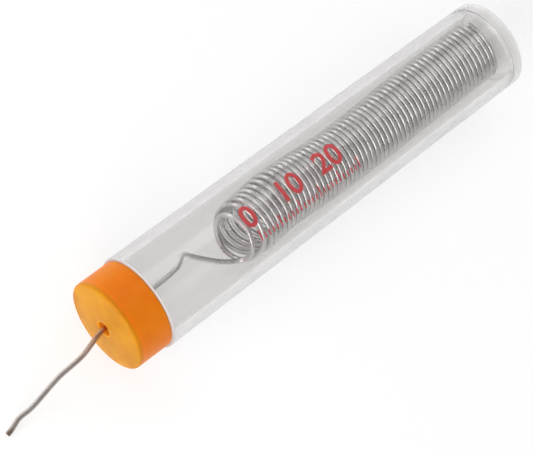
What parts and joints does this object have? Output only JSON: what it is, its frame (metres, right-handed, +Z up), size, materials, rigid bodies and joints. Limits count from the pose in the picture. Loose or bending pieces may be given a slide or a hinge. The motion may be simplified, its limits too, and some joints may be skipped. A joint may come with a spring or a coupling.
{
  "type": "solder wire dispenser tube",
  "caption": "Clear tapered tube with a push-on cap and a feed hole in the cap, holding a coil of solder wire whose bent tail comes out through the hole.",
  "frame": {"origin": "under the middle of the tube and cap, on the surface that the tube lies on", "axes": "X along the tube, cap towards -X and closed end towards +X; +Z up with the tube lying on its side"},
  "size_m": [0.1235, 0.0192, 0.0193],
  "materials": {
    "clear_plastic": "clear, polished moulding",
    "cap_plastic": "semi-gloss moulding",
    "solder": "bright drawn soft metal"
  },
  "bodies": {
    "tube": {"clear_tube": "clear_plastic"},
    "cap": {"feed_cap": "cap_plastic"},
    "coil": {"solder_coil": "solder", "solder_lead": "solder"},
    "tail": {"solder_tail": "solder"}
  },
  "joints": [
    {"name": "cap_pull", "type": "slide", "parent": "tube", "child": "cap", "axis": [-1, 0, 0], "range_m": [0, 0.012], "deforming": ["solder_lead"]},
    {"name": "wire_feed", "type": "slide", "parent": "cap", "child": "tail", "axis": [-1, 0, 0], "range_m": [0, 0.012], "deforming": ["solder_lead"]},
    {"name": "coil_slide", "type": "slide", "parent": "tube", "child": "coil", "axis": [1, 0, 0], "range_m": [-0.006, 0.001], "deforming": ["solder_lead"]}
  ]
}
